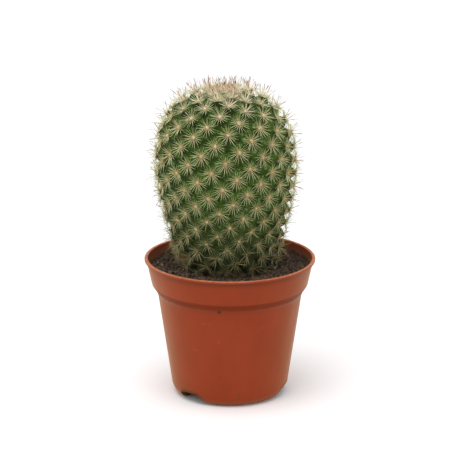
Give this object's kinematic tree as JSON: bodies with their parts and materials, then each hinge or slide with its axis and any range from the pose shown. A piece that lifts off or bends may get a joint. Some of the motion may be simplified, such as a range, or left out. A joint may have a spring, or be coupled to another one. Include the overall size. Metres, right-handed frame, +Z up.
{
  "type": "potted mammillaria pilcayensis",
  "caption": "Barrel-shaped spiny cactus with spiral tubercles, growing in dark potting soil in a round terracotta-coloured plastic nursery pot.",
  "frame": {"origin": "centre of the pot's foot, on the surface it stands on", "axes": "+Z up along the pot's axis, -Y towards the viewer of the picture, +X to the viewer's right"},
  "size_m": [0.105, 0.105, 0.1988],
  "materials": {
    "pot_plastic": "satin injection-moulded plastic, terracotta brown",
    "potting_soil": "dark, damp peat and bark crumbs",
    "cactus_flesh": "waxy green skin with cream wool and cream to red-brown spines"
  },
  "bodies": {
    "root": {"pot": "pot_plastic", "soil": "potting_soil", "cactus": "cactus_flesh"}
  },
  "joints": []
}
